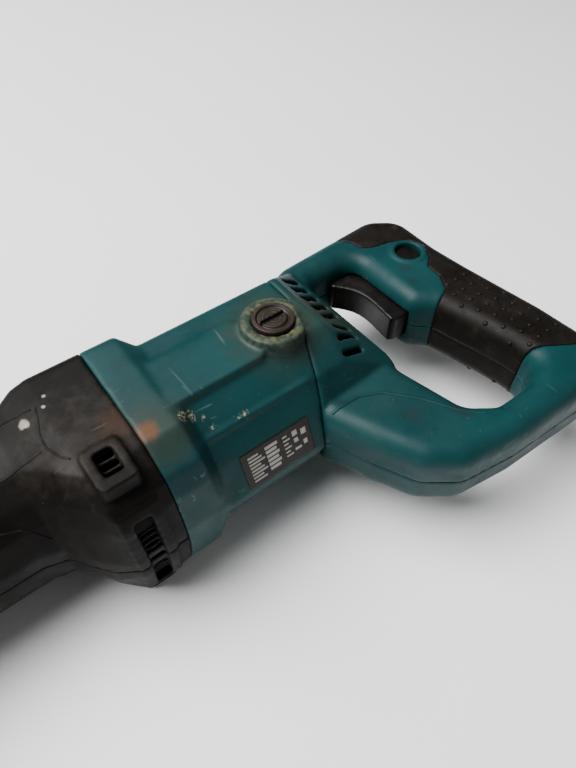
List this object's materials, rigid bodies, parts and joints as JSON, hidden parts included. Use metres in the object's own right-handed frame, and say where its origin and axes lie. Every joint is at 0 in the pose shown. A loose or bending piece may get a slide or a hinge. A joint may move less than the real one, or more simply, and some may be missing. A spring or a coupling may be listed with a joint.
{
  "type": "reciprocating saw",
  "caption": "Corded reciprocating saw with a D-shaped rear handle, soft dotted grip, side brush caps, dark front cover with air windows, and an adjustable shoe round a straight toothed blade.",
  "frame": {"origin": "the point of the shoe's working face that the motor axis passes through, below the blade's slot", "axes": "+X from the shoe back to the handle, +Y to the tool's top, +Z to the tool's left side, which faces up as the saw lies on its right side"},
  "size_m": [0.5419, 0.1587, 0.097],
  "materials": {
    "shell": "moulded glass-filled nylon, lightly worn satin",
    "soft_grip": "matte elastomer with raised dots",
    "cover": "matte moulded plastic, scuffed",
    "cap": "dark thermoset",
    "control": "semi-gloss black",
    "plate": "dark foil, worn",
    "aluminium": "die-cast, matte",
    "steel": "machined steel",
    "black_steel": "phosphated steel",
    "blade_steel": "painted blade with bare teeth",
    "brass": "drawn brass",
    "carbon": "graphite block",
    "copper": "enamelled copper",
    "lamination": "varnished electrical steel",
    "rubber": "matte",
    "felt": "oiled felt",
    "inner_plastic": "moulded"
  },
  "bodies": {
    "housing": {"motor_housing": "shell", "handle_left": "shell", "handle_right": "shell", "grip_left": "soft_grip", "grip_right": "soft_grip", "front_cover_left": "cover", "front_cover_right": "cover", "brush_holder_left": "brass", "brush_holder_right": "brass", "carbon_brush_left": "carbon", "carbon_brush_right": "carbon", "brush_spring_left": "steel", "brush_spring_right": "steel", "brush_cap_left": "cap", "brush_cap_right": "cap", "nameplate": "plate", "stator_core": "lamination", "field_coils": "copper", "air_baffle": "inner_plastic", "front_bearing": "steel", "rear_bearing": "steel", "bearing_cup": "rubber", "gear_axle": "steel", "plunger_bushing_front": "brass", "plunger_bushing_rear": "brass", "plunger_seal": "felt", "gear_housing": "aluminium", "gear_housing_cover": "aluminium", "gear_cover_screws": "black_steel", "handle_screws": "black_steel", "switch_body": "inner_plastic", "air_divider": "inner_plastic"},
    "armature": {"armature_core": "lamination", "armature_windings": "copper", "commutator": "copper", "armature_shaft": "steel", "cooling_fan": "inner_plastic", "pinion": "steel"},
    "crank": {"crank_gear": "steel", "crank_pin": "steel", "crank_roller": "steel"},
    "plunger": {"plunger": "steel", "blade_clamp": "black_steel", "clamp_pin": "steel", "blade": "blade_steel"},
    "sleeve": {"clamp_sleeve": "black_steel"},
    "trigger": {"trigger": "control"},
    "lock": {"lock_button": "control", "lock_spring": "steel"},
    "shoe_bar": {"shoe_bar": "steel", "shoe_pivot_pin": "steel"},
    "shoe": {"shoe_foot": "steel"},
    "release": {"shoe_button": "control", "shoe_button_spring": "steel"}
  },
  "joints": [
    {"name": "armature_spin", "type": "hinge", "parent": "housing", "child": "armature", "pos_m": [0.267, 0, 0], "axis": [1, 0, 0], "range_deg": [-360, 360]},
    {"name": "crank_turn", "type": "hinge", "parent": "housing", "child": "crank", "pos_m": [0.174, 0, 0], "axis": [0, 1, 0], "range_deg": [-90, 90]},
    {"name": "plunger_stroke", "type": "slide", "parent": "housing", "child": "plunger", "axis": [1, 0, 0], "range_m": [-0.014, 0.014]},
    {"name": "clamp_sleeve_turn", "type": "hinge", "parent": "plunger", "child": "sleeve", "pos_m": [0.053, 0.022, 0], "axis": [1, 0, 0], "range_deg": [0, 60], "stiffness_Nm_per_rad": 0.02},
    {"name": "trigger_pull", "type": "slide", "parent": "housing", "child": "trigger", "axis": [1, 0, 0], "range_m": [0, 0.007], "stiffness_N_per_m": 900, "springref_m": -0.002},
    {"name": "lock_button_press", "type": "slide", "parent": "housing", "child": "lock", "axis": [0, 0, -1], "range_m": [0, 0.0034], "stiffness_N_per_m": 600, "springref_m": -0.001, "deforming": ["lock_spring"]},
    {"name": "shoe_slide", "type": "slide", "parent": "housing", "child": "shoe_bar", "axis": [1, 0, 0], "range_m": [0, 0.022]},
    {"name": "shoe_tilt", "type": "hinge", "parent": "shoe_bar", "child": "shoe", "pos_m": [0.014, -0.008, 0], "axis": [0, 0, 1], "range_deg": [-14, 14]},
    {"name": "shoe_button_press", "type": "slide", "parent": "housing", "child": "release", "axis": [0, 0, -1], "range_m": [0, 0.003], "stiffness_N_per_m": 600, "springref_m": -0.001, "deforming": ["shoe_button_spring"]}
  ],
  "couplings": [
    {"joint": "crank_turn", "follows": "armature_spin", "ratio": -0.25},
    {"joint": "plunger_stroke", "follows": "armature_spin", "m_per_rad": -0.0022282}
  ]
}
